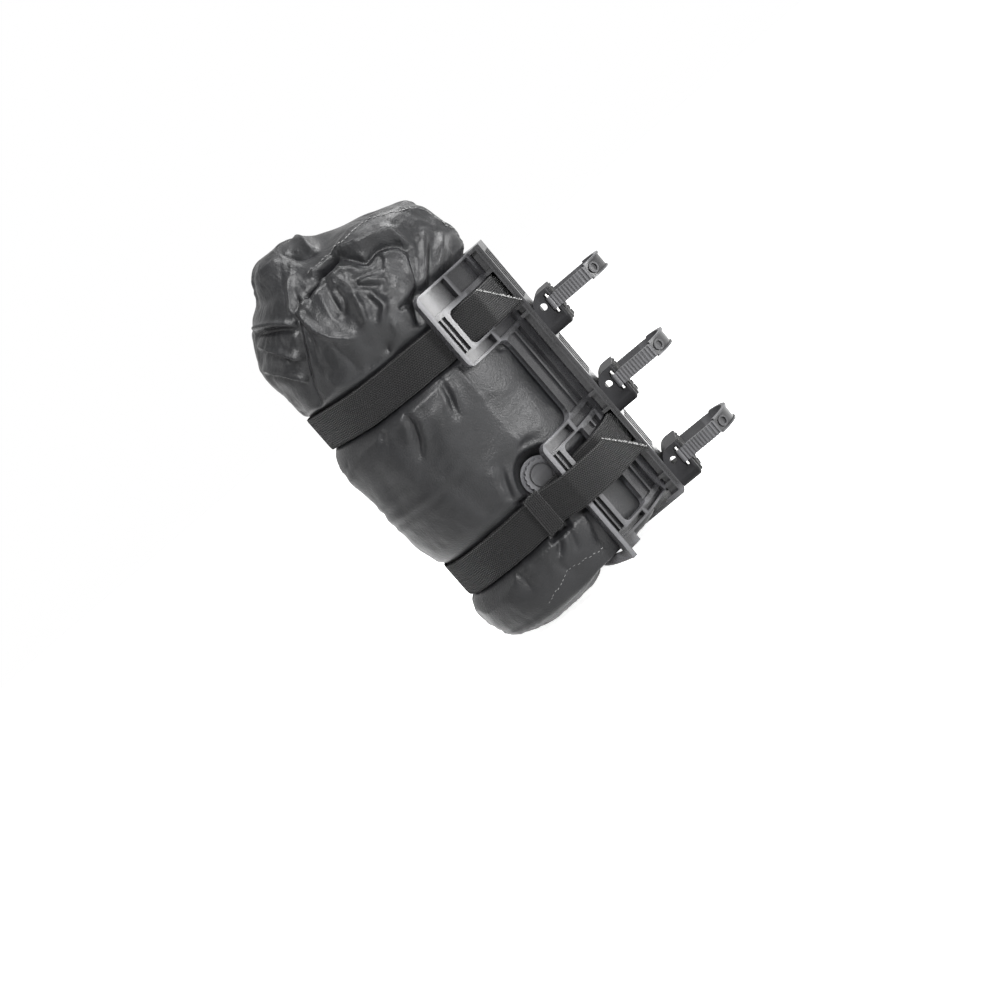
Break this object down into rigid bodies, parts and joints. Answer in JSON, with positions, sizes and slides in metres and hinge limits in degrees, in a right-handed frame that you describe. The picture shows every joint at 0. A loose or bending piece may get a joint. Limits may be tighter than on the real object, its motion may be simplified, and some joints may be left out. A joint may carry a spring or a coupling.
{
  "type": "cargo cage",
  "caption": "Ribbed plastic cargo cage that straps a rolled dry bag to a bicycle tube with toothed tie bands and cam buckles.",
  "frame": {"origin": "on the tube's axis, in the middle of the middle band", "axes": "+Z along the tube towards the bag's rolled top, -Y from the tube to the load, X across"},
  "size_m": [0.1684, 0.2144, 0.294],
  "materials": {
    "cage_plastic": "satin",
    "bag_fabric": "matte",
    "webbing": "matte",
    "webbing_keeper": "matte",
    "band_plastic": "satin",
    "base_plastic": "satin",
    "pad_rubber": "matte",
    "steel": "satin",
    "brass": "satin",
    "buckle_plastic": "satin",
    "valve_plastic": "satin"
  },
  "bodies": {
    "cage": {"cage_frame": "cage_plastic", "mount_base_upper": "base_plastic", "saddle_pad_upper": "pad_rubber", "tie_band_upper": "band_plastic", "anchor_pin_upper": "steel", "mount_screw_upper": "steel", "thread_insert_upper": "brass", "mount_base_middle": "base_plastic", "saddle_pad_middle": "pad_rubber", "tie_band_middle": "band_plastic", "anchor_pin_middle": "steel", "mount_screw_middle": "steel", "thread_insert_middle": "brass", "mount_base_lower": "base_plastic", "saddle_pad_lower": "pad_rubber", "tie_band_lower": "band_plastic", "anchor_pin_lower": "steel", "mount_screw_lower": "steel", "thread_insert_lower": "brass", "strap_upper": "webbing", "buckle_frame_upper": "buckle_plastic", "cam_pin_upper": "steel", "strap_lower": "webbing", "buckle_frame_lower": "buckle_plastic", "cam_pin_lower": "steel", "keeper_loop": "webbing_keeper", "dry_bag": "bag_fabric", "valve_body": "valve_plastic"},
    "cam_upper": {"buckle_cam_upper": "buckle_plastic"},
    "cam_lower": {"buckle_cam_lower": "buckle_plastic"},
    "knob": {"valve_knob": "valve_plastic"}
  },
  "joints": [
    {"name": "cam_lever_upper", "type": "hinge", "parent": "cage", "child": "cam_upper", "pos_m": [-0.0799, -0.1189, 0.0917], "axis": [0, 0.0209, 0.9998], "range_deg": [-70, 0]},
    {"name": "cam_lever_lower", "type": "hinge", "parent": "cage", "child": "cam_lower", "pos_m": [-0.0775, -0.1162, -0.0289], "axis": [0, -0.0558, 0.9984], "range_deg": [-70, 0]},
    {"name": "valve_turn", "type": "hinge", "parent": "cage", "child": "knob", "pos_m": [0.06191, -0.09194, -0.0103], "axis": [0.9311, 0.3649, 0], "range_deg": [0, 180]}
  ]
}
